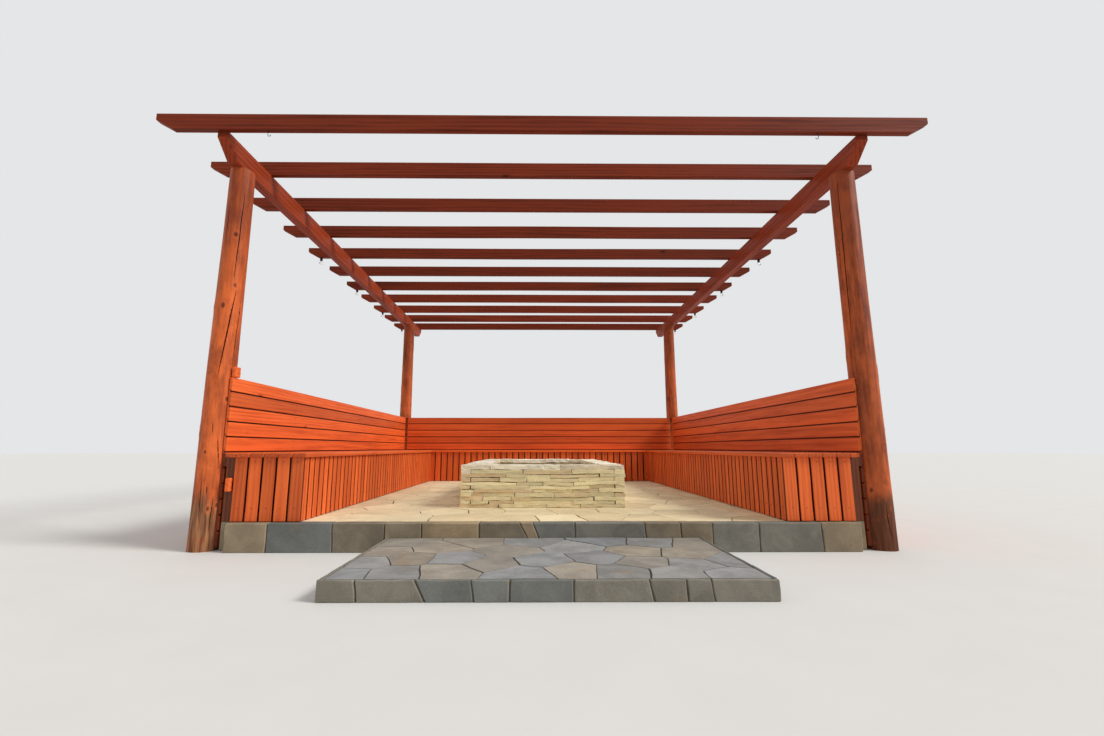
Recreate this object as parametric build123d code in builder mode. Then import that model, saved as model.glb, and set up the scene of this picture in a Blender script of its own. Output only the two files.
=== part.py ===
"""Open timber pergola on log posts, with a U-shaped slatted bench, a raised stone floor and a stone fire pit.

Millimetres, +Z up, the open front faces -Y. The ground is z = 0 and the origin is the middle of the footprint.
"""

import os

from build123d import *

os.makedirs("parts", exist_ok=True)

# Log posts
post_spacing_front = 4656
post_spacing_depth = 4759
post_foot_radius = 102
post_belly_radius = 96
post_top_radius = 87
post_belly_height = 950
rear_flat_depth = 60
rear_post_inset = 83

# Roof timbers
beam_width = 83
beam_height = 160
beam_underside = 2790
beam_front_reach = 270
beam_rear_reach = 1046
beam_end_face = 40
beam_cut_run = 140
rafter_count = 11
rafter_width = 50
rafter_height = 120
rafter_side_reach = 472
rafter_front_reach = 304
rafter_rear_setback = 29
rafter_end_face = 50
rafter_cut_run = 125

# Stone floor, step and fire pit
floor_height = 190
floor_side_gap = 15
floor_front_reach = 116
floor_rear_gap = 10
step_height = 97
step_width = 2100
step_depth = 1064
pit_width = 1410
pit_length = 2306
pit_height = 355
pit_wall = 200
pit_setback = 744

# Backrests
backrest_thickness = 22
backrest_proud = 11
backrest_board = 95
backrest_gap = 11
backrest_board_count = 5
skirt_board_count = 6
tongue_thickness = 9
tongue_lap = 8
rebate_depth = 10
rebate_clearance = 2
backrest_clearance = 14
corner_notch = 80
corner_setback = 28
stake_size = 70
stake_drop = 10

# Bench
seat_height = 460
seat_thickness = 28
seat_gap = 5
seat_board_count = 6
seat_overhang = 25
seat_corner_relief = 50
bench_side_depth = 555
bench_rear_depth = 590
bench_front_reach = 67
slat_thickness = 18
slat_gap = 12
side_slat_count = 51
rear_slat_count = 37
end_board_thickness = 20
end_board_count = 5
end_board_gap = 14
end_board_relief = 85
slat_foot_clearance = 4
rail_depth = 40
rail_height = 60
rail_foot = 60
trestle_width = 60
trestle_member = 60
side_trestle_count = 6
rear_trestle_count = 4
rear_trestle_margin = 360

# Small fittings
stub_width = 42
stub_gap = 10
stub_low_level = 390
stub_low_height = 95
stub_low_depth = 40
stub_high_height = 79
stub_high_depth = 61
lamp_inset = 25
lamp_rafters = (5, 7, 9, 11)
lamp_socket_radius = 15
lamp_socket_height = 40
lamp_bulb_radius = 24
lamp_bulb_height = 48
lamp_tip_radius = 10
lamp_sides = 8
hook_width = 10
hook_thickness = 4
hook_eye = 20
hook_drop = 30
hook_spacing = 4000

# Levels
seat_top = floor_height + seat_height
seat_underside = seat_top - seat_thickness
backrest_foot = seat_top + backrest_clearance
backrest_pitch = backrest_board + backrest_gap
backrest_height = backrest_board_count * backrest_pitch - backrest_gap
backrest_top = backrest_foot + backrest_height
rafter_underside = beam_underside + beam_height
pit_top = floor_height + pit_height
stake_top = backrest_top - stake_drop

# Lines across the width, measured from the middle
front_post_x = post_spacing_front / 2
beam_x = front_post_x
rear_post_x = beam_x - rear_post_inset
rafter_end_x = beam_x + rafter_side_reach
backrest_face_x = front_post_x - post_foot_radius - backrest_proud
backrest_back_x = backrest_face_x + backrest_thickness
bench_face_x = backrest_face_x - bench_side_depth
rail_face_x = bench_face_x + slat_thickness
trestle_face_x = rail_face_x + rail_depth
seat_edge_x = bench_face_x - seat_overhang
seat_relief_x = backrest_face_x - seat_corner_relief
end_board_end_x = backrest_face_x - end_board_relief
floor_edge_x = backrest_face_x - floor_side_gap

# Lines along the depth, with the footprint centred on the origin
overall_length = step_depth + floor_front_reach + post_spacing_depth + beam_rear_reach
front_post_y = -overall_length / 2 + step_depth + floor_front_reach
rear_post_y = front_post_y + post_spacing_depth
beam_front_y = front_post_y - beam_front_reach
beam_rear_y = rear_post_y + beam_rear_reach
first_rafter_y = front_post_y - rafter_front_reach
last_rafter_y = beam_rear_y - rafter_rear_setback - rafter_width
rafter_pitch = (last_rafter_y - first_rafter_y) / (rafter_count - 1)
floor_front_y = front_post_y - floor_front_reach
rear_backrest_back_y = rear_post_y - post_belly_radius + rear_flat_depth
rear_backrest_face_y = rear_backrest_back_y - backrest_thickness
floor_rear_y = rear_backrest_face_y - floor_rear_gap
rear_bench_face_y = rear_backrest_face_y - bench_rear_depth
rear_rail_face_y = rear_bench_face_y + slat_thickness
rear_trestle_face_y = rear_rail_face_y + rail_depth
rear_seat_edge_y = rear_bench_face_y - seat_overhang
side_seat_rear_y = rear_backrest_face_y - seat_gap
bench_front_y = front_post_y - bench_front_reach
end_board_back_y = bench_front_y + end_board_thickness
seat_front_y = bench_front_y - seat_overhang
side_backrest_rear_y = rear_backrest_face_y - corner_notch
pit_front_y = front_post_y + pit_setback

LOW = (Align.MIN, Align.MIN, Align.MIN)


def save(piece, name):
    """Label a finished piece and write it under its node's name."""
    piece.label = name
    export_step(piece, "parts/" + name + ".step")


def span(low, high, mode=Mode.ADD):
    """Add or cut a straight sawn piece from its low corner to its high corner."""
    with Locations(low):
        Box(high[0] - low[0], high[1] - low[1], high[2] - low[2], align=LOW, mode=mode)


def repeat(corners, size):
    """Add the same sawn piece at each of several low corners."""
    with Locations(*corners):
        Box(*size, align=LOW)


def across(side, inner, outer):
    """The low and high x of a piece between two distances from the middle, on the left (-1) or right (+1)."""
    return tuple(sorted((side * inner, side * outer)))


def spread(start, end, count):
    """Evenly spaced positions that include both ends."""
    return [start + (end - start) * i / (count - 1) for i in range(count)]


def board_row(start, end, count, gap):
    """The width and the low edges of the boards of a row that fills a width, with a gap between neighbours."""
    width = (end - start - gap * (count - 1)) / count
    return width, [start + i * (width + gap) for i in range(count)]


def make_log(x, y):
    """One peeled log: a round taper, steeper at the foot than above the belly line."""
    with BuildPart() as log:
        with BuildSketch(Plane(origin=(x, y, 0), x_dir=(1, 0, 0), z_dir=(0, -1, 0))):
            with BuildLine():
                Polyline(
                    (0, 0),
                    (post_foot_radius, 0),
                    (post_belly_radius, post_belly_height),
                    (post_top_radius, beam_underside),
                    (0, beam_underside),
                    close=True,
                )
            make_face()
        revolve(axis=Axis((x, y, 0), (0, 0, 1)))
    return log.part


def make_post(x, y, flat_low, flat_high):
    """A log with the flat that its boards are let into, from the ground to the top of the backrest."""
    with BuildPart() as post:
        add(make_log(x, y))
        span(flat_low, flat_high, Mode.SUBTRACT)
    return post.part


# Posts
for side, word in ((-1, "left"), (1, "right")):
    low, high = across(side, front_post_x - post_foot_radius, backrest_back_x)
    front_post = make_post(
        side * front_post_x,
        front_post_y,
        (low, end_board_back_y, 0),
        (high, front_post_y + post_foot_radius, backrest_top),
    )
    save(front_post, "post_front_" + word)
    rear_post = make_post(
        side * rear_post_x,
        rear_post_y,
        (side * rear_post_x - post_foot_radius, rear_post_y - post_foot_radius, 0),
        (side * rear_post_x + post_foot_radius, rear_backrest_back_y, backrest_top),
    )
    save(rear_post, "post_rear_" + word)

# Beams
for side, word in ((-1, "left"), (1, "right")):
    with BuildPart() as beam:
        with BuildSketch(Plane.YZ.offset(side * beam_x - beam_width / 2)):
            with BuildLine():
                Polyline(
                    (beam_front_y, rafter_underside),
                    (beam_rear_y, rafter_underside),
                    (beam_rear_y, rafter_underside - beam_end_face),
                    (beam_rear_y - beam_cut_run, beam_underside),
                    (beam_front_y + beam_cut_run, beam_underside),
                    (beam_front_y, rafter_underside - beam_end_face),
                    close=True,
                )
            make_face()
        extrude(amount=beam_width)
    save(beam.part, "beam_" + word)

# Rafters
rafter_top = rafter_underside + rafter_height
for number in range(rafter_count):
    rafter_y = first_rafter_y + number * rafter_pitch
    with BuildPart() as rafter:
        with BuildSketch(Plane.XZ.offset(-rafter_y - rafter_width)):
            with BuildLine():
                Polyline(
                    (-rafter_end_x, rafter_top),
                    (rafter_end_x, rafter_top),
                    (rafter_end_x, rafter_top - rafter_end_face),
                    (rafter_end_x - rafter_cut_run, rafter_underside),
                    (-rafter_end_x + rafter_cut_run, rafter_underside),
                    (-rafter_end_x, rafter_top - rafter_end_face),
                    close=True,
                )
            make_face()
        extrude(amount=rafter_width)
    save(rafter.part, f"rafter_{number + 1:02d}")

# Backrests: each board laps the one below it over a shadow gap, and the boarding runs on below the seat
board_levels = [backrest_foot + i * backrest_pitch for i in range(-skirt_board_count, backrest_board_count)]
tongue_face = backrest_thickness - tongue_thickness
rebate_face = backrest_thickness - rebate_depth
with BuildSketch() as boarding:
    with Locations(*[(0, level) for level in board_levels]):
        Rectangle(backrest_thickness, backrest_board, align=LOW[:2])
    with Locations(*[(rebate_face, level) for level in board_levels[1:]]):
        Rectangle(rebate_depth, tongue_lap + rebate_clearance, align=LOW[:2], mode=Mode.SUBTRACT)
    with Locations(*[(tongue_face, level + backrest_board) for level in board_levels[:-1]]):
        Rectangle(tongue_thickness, backrest_gap + tongue_lap, align=LOW[:2])

for side, word in ((-1, "left"), (1, "right")):
    board_end = Plane(
        origin=(side * backrest_face_x, end_board_back_y, 0), x_dir=(side, 0, 0), z_dir=(0, -side, 0)
    )
    with BuildPart() as backrest:
        with BuildSketch(board_end):
            add(boarding.sketch)
        extrude(amount=-side * (side_backrest_rear_y - end_board_back_y))
    save(backrest.part, "backrest_" + word)

rear_board_end_x = backrest_face_x - corner_setback
with BuildPart() as backrest_rear:
    with BuildSketch(Plane(origin=(-rear_board_end_x, rear_backrest_face_y, 0), x_dir=(0, 1, 0), z_dir=(1, 0, 0))):
        add(boarding.sketch)
    extrude(amount=2 * rear_board_end_x)
save(backrest_rear.part, "backrest_rear")

# Bench trestles and the stakes behind the backrests
side_trestles = spread(end_board_back_y, side_backrest_rear_y - trestle_width, side_trestle_count)
side_stakes = side_trestles[1:]
rear_trestle_end_x = trestle_face_x - rear_trestle_margin
rear_trestles = spread(-rear_trestle_end_x, rear_trestle_end_x - trestle_width, rear_trestle_count)
stake_shift = (stake_size - trestle_width) / 2
stake = (stake_size, stake_size, stake_top)


def trestle_profile(front, foot_end, bearer_end):
    """A bench frame seen from its side: two legs, a foot rail, and a bearer that reaches back to the boarding."""
    bearer_foot = seat_underside - trestle_member
    window_width = foot_end - front - 2 * trestle_member
    window_height = bearer_foot - floor_height - trestle_member
    with BuildSketch() as profile:
        with BuildLine():
            Polyline(
                (front, floor_height),
                (foot_end, floor_height),
                (foot_end, bearer_foot),
                (bearer_end, bearer_foot),
                (bearer_end, seat_underside),
                (front, seat_underside),
                close=True,
            )
        make_face()
        with Locations(((front + foot_end) / 2, bearer_foot - window_height / 2)):
            Rectangle(window_width, window_height, mode=Mode.SUBTRACT)
    return profile.sketch


side_profile = trestle_profile(trestle_face_x, floor_edge_x, backrest_face_x)
rear_profile = trestle_profile(rear_trestle_face_y, floor_rear_y, rear_backrest_face_y)
for side, word in ((-1, "left"), (1, "right")):
    with BuildPart() as trestles:
        for place in side_trestles:
            with BuildSketch(Plane(origin=(0, place, 0), x_dir=(side, 0, 0), z_dir=(0, -side, 0))):
                add(side_profile)
        extrude(amount=-side * trestle_width)
    save(trestles.part, "trestles_" + word)

    low, high = across(side, backrest_back_x, backrest_back_x + stake_size)
    with BuildPart() as stakes:
        repeat([(low, place - stake_shift, 0) for place in side_stakes], stake)
    save(stakes.part, "stakes_" + word)

with BuildPart() as trestles_rear:
    for place in rear_trestles:
        with BuildSketch(Plane.YZ.offset(place)):
            add(rear_profile)
    extrude(amount=trestle_width)
save(trestles_rear.part, "trestles_rear")

with BuildPart() as stakes_rear:
    repeat([(place - stake_shift, rear_backrest_back_y, 0) for place in rear_trestles], stake)
save(stakes_rear.part, "stakes_rear")

# Rails behind the slats
rail_levels = (floor_height + rail_foot, seat_underside - rail_height)
for side, word in ((-1, "left"), (1, "right")):
    low, high = across(side, rail_face_x, trestle_face_x)
    with BuildPart() as rails:
        for level in rail_levels:
            span((low, end_board_back_y, level), (high, rear_backrest_face_y, level + rail_height))
    save(rails.part, "rails_" + word)

with BuildPart() as rails_rear:
    for level in rail_levels:
        span(
            (-rail_face_x, rear_rail_face_y, level),
            (rail_face_x, rear_trestle_face_y, level + rail_height),
        )
save(rails_rear.part, "rails_rear")

# Slats on the bench fronts
slat_foot = floor_height + slat_foot_clearance
slat_length = seat_underside - slat_foot
side_slat, side_slat_starts = board_row(end_board_back_y, rear_bench_face_y, side_slat_count, slat_gap)
for side, word in ((-1, "left"), (1, "right")):
    low, high = across(side, bench_face_x, rail_face_x)
    with BuildPart() as cladding:
        repeat([(low, start, slat_foot) for start in side_slat_starts], (slat_thickness, side_slat, slat_length))
    save(cladding.part, "cladding_" + word)

rear_slat, rear_slat_starts = board_row(-rail_face_x, rail_face_x, rear_slat_count, slat_gap)
with BuildPart() as cladding_rear:
    repeat(
        [(start, rear_bench_face_y, slat_foot) for start in rear_slat_starts],
        (rear_slat, slat_thickness, slat_length),
    )
save(cladding_rear.part, "cladding_rear")

# Boards that close the front ends of the bench
with BuildPart() as bench_ends:
    for side in (-1, 1):
        low, high = across(side, bench_face_x, end_board_end_x)
        end_board, end_board_starts = board_row(low, high, end_board_count, end_board_gap)
        repeat(
            [(start, bench_front_y, slat_foot) for start in end_board_starts],
            (end_board, end_board_thickness, slat_length),
        )
save(bench_ends.part, "bench_ends")

# Seats
for side, word in ((-1, "left"), (1, "right")):
    low, high = across(side, seat_edge_x, backrest_face_x)
    seat_board, seat_board_starts = board_row(low, high, seat_board_count, seat_gap)
    with BuildPart() as seat:
        repeat(
            [(start, seat_front_y, seat_underside) for start in seat_board_starts],
            (seat_board, side_seat_rear_y - seat_front_y, seat_thickness),
        )
        low, high = across(side, seat_relief_x, backrest_face_x)
        span((low, seat_front_y, seat_underside), (high, end_board_back_y, seat_top), Mode.SUBTRACT)
    save(seat.part, "seat_" + word)

rear_seat_end_x = seat_edge_x - seat_gap
rear_seat_board, rear_seat_starts = board_row(
    rear_seat_edge_y, rear_backrest_face_y, seat_board_count, seat_gap
)
with BuildPart() as seat_rear:
    repeat(
        [(-rear_seat_end_x, start, seat_underside) for start in rear_seat_starts],
        (2 * rear_seat_end_x, rear_seat_board, seat_thickness),
    )
save(seat_rear.part, "seat_rear")

# Stone floor, stepped back round the front posts, and the entrance step
with BuildPart() as stone_floor:
    span((-floor_edge_x, end_board_back_y, 0), (floor_edge_x, floor_rear_y, floor_height))
    span((-end_board_end_x, floor_front_y, 0), (end_board_end_x, end_board_back_y, floor_height))
save(stone_floor.part, "stone_floor")

with BuildPart() as entrance_step:
    span((-step_width / 2, floor_front_y - step_depth, 0), (step_width / 2, floor_front_y, step_height))
save(entrance_step.part, "entrance_step")

# Fire pit
pit_x = pit_width / 2
pit_rear_y = pit_front_y + pit_length
for word, start in (("front", pit_front_y), ("rear", pit_rear_y - pit_wall)):
    with BuildPart() as pit_end:
        span((-pit_x, start, floor_height), (pit_x, start + pit_wall, pit_top))
    save(pit_end.part, "fire_pit_" + word)
for side, word in ((-1, "left"), (1, "right")):
    low, high = across(side, pit_x - pit_wall, pit_x)
    with BuildPart() as pit_side:
        span((low, pit_front_y + pit_wall, floor_height), (high, pit_rear_y - pit_wall, pit_top))
    save(pit_side.part, "fire_pit_" + word)

# Stubs beside the front left post: one on the first bench leg, one on the backrest and scribed to the log
low_stub_x = end_board_end_x + stub_gap
with BuildPart() as post_stubs:
    span(
        (-low_stub_x - stub_width, end_board_back_y - stub_low_depth, stub_low_level),
        (-low_stub_x, end_board_back_y, stub_low_level + stub_low_height),
    )
    span(
        (-backrest_back_x, end_board_back_y, backrest_top),
        (-backrest_back_x + stub_width, end_board_back_y + stub_high_depth, backrest_top + stub_high_height),
    )
    add(make_log(-front_post_x, front_post_y), mode=Mode.SUBTRACT)
save(post_stubs.part, "post_stubs")

# Lamps under the rafter ends
lamp_x = rafter_end_x - rafter_cut_run - lamp_inset
lamp_socket_foot = rafter_underside - lamp_socket_height
lamp_sections = (
    (rafter_underside, lamp_socket_radius),
    (lamp_socket_foot, lamp_socket_radius),
    (lamp_socket_foot - lamp_bulb_height / 2, lamp_bulb_radius),
    (lamp_socket_foot - lamp_bulb_height, lamp_tip_radius),
)
with BuildPart() as end_lamps:
    for number in lamp_rafters:
        lamp_y = first_rafter_y + (number - 1) * rafter_pitch + rafter_width / 2
        for side in (-1, 1):
            for level, radius in lamp_sections:
                with BuildSketch(Plane.XY.offset(level)):
                    with Locations((side * lamp_x, lamp_y)):
                        RegularPolygon(radius, lamp_sides)
            loft(ruled=True)
save(end_lamps.part, "end_lamps")

# Hooks under the front rafter
hook_y = first_rafter_y + rafter_width / 2
hook_bend_z = rafter_underside - hook_drop
with BuildPart() as plant_hooks:
    for side in (-1, 1):
        hook_x = side * hook_spacing / 2
        with BuildLine(Plane.XZ.offset(-hook_y)) as wire:
            shank = Line((hook_x, rafter_underside), (hook_x, hook_bend_z))
            ThreePointArc(
                shank @ 1,
                (hook_x - side * hook_eye / 2, hook_bend_z - hook_eye / 2),
                (hook_x - side * hook_eye, hook_bend_z),
            )
        with BuildSketch(Plane(origin=shank @ 0, z_dir=(0, 0, -1))):
            Rectangle(hook_thickness, hook_width)
        sweep(path=wire.wire())
save(plant_hooks.part, "plant_hooks")
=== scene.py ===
"""Looks for a garden pergola: stained logs and timbers, a slatted bench, stone paving and a fire pit."""

import math
import random
from functools import reduce

import bmesh
import bpy
from mathutils import Matrix, Vector, noise


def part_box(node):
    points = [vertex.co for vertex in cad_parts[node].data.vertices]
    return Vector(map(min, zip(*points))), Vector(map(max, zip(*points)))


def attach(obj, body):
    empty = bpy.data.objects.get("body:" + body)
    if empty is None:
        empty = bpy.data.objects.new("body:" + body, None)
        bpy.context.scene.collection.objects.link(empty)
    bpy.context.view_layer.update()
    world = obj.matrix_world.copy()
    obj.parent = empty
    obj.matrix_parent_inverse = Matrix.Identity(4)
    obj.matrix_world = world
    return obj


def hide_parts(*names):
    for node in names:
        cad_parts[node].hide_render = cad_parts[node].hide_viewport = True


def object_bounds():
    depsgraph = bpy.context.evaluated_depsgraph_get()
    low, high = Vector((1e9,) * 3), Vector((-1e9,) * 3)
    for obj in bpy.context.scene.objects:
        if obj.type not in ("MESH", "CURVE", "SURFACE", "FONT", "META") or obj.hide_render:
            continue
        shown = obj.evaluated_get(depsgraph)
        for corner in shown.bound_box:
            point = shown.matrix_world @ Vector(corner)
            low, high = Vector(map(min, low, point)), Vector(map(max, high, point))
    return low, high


bl_info = {
    "name": "Garden Pergola",
    "version": (1, 0, 0),
    "blender": (4, 5, 0),
    "location": "View3D > Sidebar > Pergola",
    "description": "Log-post pergola with a slatted bench, stone floor, entrance step and fire pit",
    "category": "Object",
}

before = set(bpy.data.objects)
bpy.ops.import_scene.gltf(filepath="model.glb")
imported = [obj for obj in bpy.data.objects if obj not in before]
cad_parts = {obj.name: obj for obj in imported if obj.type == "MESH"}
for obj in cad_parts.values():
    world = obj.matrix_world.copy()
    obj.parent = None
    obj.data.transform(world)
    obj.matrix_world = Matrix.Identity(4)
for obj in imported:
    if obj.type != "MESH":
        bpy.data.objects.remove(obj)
cad_low, cad_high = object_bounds()
# Unless it is given a seed, vector noise starts from the clock and chips the stones differently at each run
noise.seed_set(7)

AXES = {"X": Vector((1, 0, 0)), "Y": Vector((0, 1, 0)), "Z": Vector((0, 0, 1))}
UP = AXES["Z"]
# The way that each side of the bench faces, and the grain of the boards that run along it
FACING = {"left": AXES["X"], "rear": -AXES["Y"], "right": -AXES["X"]}
ALONG = {"left": "Y", "rear": "X", "right": "Y"}
# The angle between two faces from which a rounded piece shows an edge
SHARP = math.radians(50)


def stain(red, green, blue):
    """A colour written in 0 to 255 as a paint chart gives it, as the linear values that a shader takes."""
    shares = (value / 255 for value in (red, green, blue))
    return [share / 12.92 if share <= 0.04045 else ((share + 0.055) / 1.055) ** 2.4 for share in shares]


def shade(tint, share):
    return [part * share for part in tint]


def colour(red, green, blue, name, description):
    return bpy.props.FloatVectorProperty(
        name=name, description=description, default=stain(red, green, blue), subtype="COLOR", size=3, min=0,
        max=1,
    )


def number(default, name, description, **options):
    return bpy.props.FloatProperty(name=name, description=description, default=default, **options)


def distance(default, name, description):
    return number(default, name, description, subtype="DISTANCE", unit="LENGTH", min=0)


class TimberFinish(bpy.types.PropertyGroup):
    """Stains and workmanship of the sawn timber and the logs."""

    board_stain: colour(234, 108, 46, "Board stain", "Backrests, seats and slats")
    board_grain: colour(190, 76, 31, "Board grain", "Darker grain of the boards")
    # The beam and roof colours are darker than the boards' stain: partly painted shade, most on the rafters
    beam_stain_and_shade: colour(154, 61, 30, "Beam stain", "The two beams")
    beam_grain_and_shade: colour(112, 42, 20, "Beam grain", "Darker grain of the beams")
    roof_stain_and_shade: colour(124, 48, 25, "Roof stain", "Rafters")
    roof_grain_and_shade: colour(86, 31, 16, "Roof grain", "Darker grain of the rafters")
    log_stain: colour(212, 102, 48, "Log stain", "Peeled log posts")
    log_grain: colour(114, 46, 23, "Log grain", "Darker grain of the logs")
    inner_stain: colour(112, 58, 34, "Inner stain", "Frames, rails and stakes")
    inner_grain: colour(74, 36, 22, "Inner grain", "Darker grain of the frames, rails and stakes")
    arris: distance(0.0025, "Arris", "Width of the eased edge on sawn timber")
    bow: distance(0.0012, "Bow", "How far a board strays from straight")
    screw_radius: distance(0.0035, "Screw head radius", "Radius of the countersunk screw heads")


class StoneFinish(bpy.types.PropertyGroup):
    """Colours and joints of the paving and the fire pit."""

    floor_stone: colour(243, 227, 188, "Floor stone", "Main colour of the raised floor")
    floor_second: colour(227, 207, 167, "Floor second stone", "Second colour of the raised floor")
    # The step and riser colours are greyer, bluer and darker than the cream floor: painted shade
    shaded_step_stone: colour(146, 149, 152, "Step stone", "Main colour of the entrance step")
    step_second: colour(156, 146, 130, "Step second stone", "Warmer stones of the entrance step")
    shaded_riser_stone: colour(110, 114, 112, "Riser stone", "Upright stones round the floor and step")
    riser_second: colour(152, 134, 108, "Riser second stone", "Warmer upright stones")
    pit_stone: colour(236, 224, 180, "Fire pit stone", "Split slabs of the fire pit")
    pit_second: colour(214, 190, 150, "Fire pit second stone", "Browner slabs of the fire pit")
    coping: colour(252, 247, 230, "Coping stone", "Pale split face of the top course")
    mortar: colour(92, 86, 76, "Mortar", "Joint filling of the paving")
    joint: distance(0.007, "Paving joint", "Width of the joints between flagstones")
    slab_depth: distance(0.03, "Slab depth", "Thickness of the flagstones")
    riser_depth: distance(0.018, "Riser depth", "Thickness of the upright stones at their top")


class StageSettings(bpy.types.PropertyGroup):
    """Camera, lights and floor."""

    lens: number(15.99, "Lens", "Focal length", unit="CAMERA")
    shift: number(0.0114, "Shift", "Sideways camera shift")
    eye: bpy.props.FloatVectorProperty(
        name="Eye", description="Camera place", default=(-0.063, -5.836, 0.686), subtype="TRANSLATION"
    )
    pitch: number(math.radians(9.26), "Pitch", "Upward tilt of the camera", subtype="ANGLE")
    yaw: number(math.radians(0.47), "Yaw", "Turn of the camera to the right", subtype="ANGLE")
    key: number(2.3, "Key light", "Strength of the sun lamp", min=0)
    fill: number(0.57, "Fill light", "Strength of the sky", min=0)


class Shader:
    """A material or sky under construction: each method adds nodes and gives back an output socket."""

    def __init__(self, name, owners="materials", end="OutputMaterial"):
        self.owner = getattr(bpy.data, owners).new(name)
        self.owner.use_nodes = True
        self.tree = self.owner.node_tree
        self.tree.nodes.clear()
        self.surface = self.tree.nodes.new("ShaderNode" + end).inputs["Surface"]

    def add(self, kind, inputs, output=0, **settings):
        made = self.tree.nodes.new("ShaderNode" + kind)
        for key, value in settings.items():
            setattr(made, key, value)
        for key, value in inputs.items():
            if isinstance(value, bpy.types.NodeSocket):
                self.tree.links.new(value, made.inputs[key])
            else:
                made.inputs[key].default_value = value
        return made.outputs[output]

    def attribute(self, name, output="Fac"):
        return self.add("Attribute", {}, output, attribute_name=name)

    def maths(self, operation, *values):
        return self.add("Math", dict(enumerate(values)), operation=operation)

    def plus(self, first, second):
        return self.maths("ADD", first, second)

    def times(self, first, second):
        return self.maths("MULTIPLY", first, second)

    def weigh(self, *parts):
        """The sum of values, each times its weight."""
        return reduce(self.plus, [self.times(value, weight) for value, weight in parts])

    def vector(self, operation, *values, output=0):
        return self.add("VectorMath", dict(enumerate(values)), output, operation=operation)

    def place(self, scale=1, shifted=True):
        """Object coordinates, moved by each board's or stone's own shift and scaled."""
        point = self.add("TexCoord", {}, "Object")
        if shifted:
            point = self.vector("ADD", point, self.attribute("shift", "Vector"))
        scale = scale if hasattr(scale, "__len__") else (scale, scale, scale)
        return self.add("Mapping", {"Vector": point, "Scale": scale})

    def noise(self, scale, detail=2.0, roughness=0.5, distortion=0.0, shifted=True):
        inputs = {"Scale": 1.0, "Detail": detail, "Roughness": roughness, "Distortion": distortion}
        return self.add("TexNoise", {"Vector": self.place(scale, shifted), **inputs})

    def span(self, value, low, high, to_low=0.0, to_high=1.0):
        """A value from low to high carried over smoothly to another range."""
        inputs = {"Value": value, "From Min": low, "From Max": high, "To Min": to_low, "To Max": to_high}
        return self.add("MapRange", inputs, interpolation_type="SMOOTHSTEP")

    def mix(self, share, first, second, blend="MIX"):
        inputs = {6: first, 7: second}
        for key, tint in inputs.items():
            inputs[key] = tint if isinstance(tint, bpy.types.NodeSocket) else (*tint, 1)
        return self.add("Mix", {0: share, **inputs}, 2, data_type="RGBA", blend_type=blend)

    def brighten(self, tint, amount):
        """The colour times a number."""
        return self.mix(1.0, tint, self.add("CombineColor", dict.fromkeys(range(3), amount)), "MULTIPLY")

    def lift(self, tint, name, amount):
        """The colour made lighter or darker by an attribute."""
        return self.brighten(tint, self.maths("MULTIPLY_ADD", self.attribute(name), amount, 1.0))

    def bump(self, height, depth, strength=1.0, **normal):
        return self.add("Bump", {"Height": height, "Distance": depth, "Strength": strength, **normal})

    def finish(self, **inputs):
        """The surface itself, from the sockets and numbers given."""
        names = {key.replace("_", " ").title().replace("Ior", "IOR"): value for key, value in inputs.items()}
        self.tree.links.new(self.add("BsdfPrincipled", names), self.surface)
        return self.owner


def along(grain, lengthways, across):
    """Texture scale with long figure along one axis."""
    return [lengthways if axis == grain else across for axis in "XYZ"]


def stained_wood(name, grain, light, dark, gloss=0.28, contrast=1.0):
    """Stained softwood: long grain, pores, drifting stain, knots, worn arrises and darker end grain."""
    wood = Shader(name)
    streaks = wood.noise(along(grain, 2.2, 60), 5.0, 0.6, 0.25)
    pores = wood.noise(along(grain, 14, 420), 2.0, 0.6)
    drift = wood.noise(along(grain, 0.9, 5), 3.0, 0.55)
    place = wood.place(along(grain, 0.55, 9))
    inputs = {"Vector": place, "Scale": 1.3, "Distortion": 7.0, "Detail Scale": 0.8}
    rings = wood.add("TexWave", inputs, wave_type="RINGS", rings_direction=grain)
    figure = wood.weigh((streaks, 0.5), (rings, 0.16), (drift, 0.34))
    tint = wood.mix(wood.span(figure, 0.47 - 0.2 / contrast, 0.47 + 0.14 / contrast), dark, light)
    tint = wood.mix(wood.span(pores, 0.56, 0.72, 0.0, 0.25), tint, dark)

    cells = wood.add("TexVoronoi", {"Vector": wood.place(along(grain, 2.0, 5.2)), "Scale": 1.0}, "Distance")
    chance = wood.span(wood.noise(along(grain, 1.3, 3.1), 0.0), 0.59, 0.62)
    knot = wood.times(wood.span(cells, 0.075, 0.045), chance)
    halo = wood.times(wood.span(cells, 0.17, 0.06), chance)
    tint = wood.mix(wood.times(halo, 0.45), tint, dark)
    tint = wood.mix(wood.times(knot, 0.85), tint, shade(dark, 0.3))

    tint = wood.lift(tint, "tone", 0.17)
    worn = wood.times(wood.attribute("arris"), wood.span(drift, 0.45, 0.65, 0.0, 0.3))
    tint = wood.mix(worn, tint, [min(1, part * 1.3 + 0.02) for part in light])
    # End grain is darker; shares above 1.2 add painted shade inside the bench, in seams and in gaps
    end_grain_and_shade = wood.attribute("end_grain_and_shade")
    tint = wood.mix(wood.times(end_grain_and_shade, 0.55), tint, shade(dark, 0.6))
    tint = wood.brighten(tint, wood.span(end_grain_and_shade, 1.2, 1.5, 1.0, 0.35))
    relief = wood.maths("SUBTRACT", wood.weigh((streaks, 0.7), (pores, 0.3)), wood.times(knot, 0.4))
    wood.finish(
        base_color=tint, specular_ior_level=gloss, roughness=wood.span(streaks, 0.3, 0.7, 0.62, 0.46),
        normal=wood.bump(relief, 0.0005, 0.7),
    )


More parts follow.
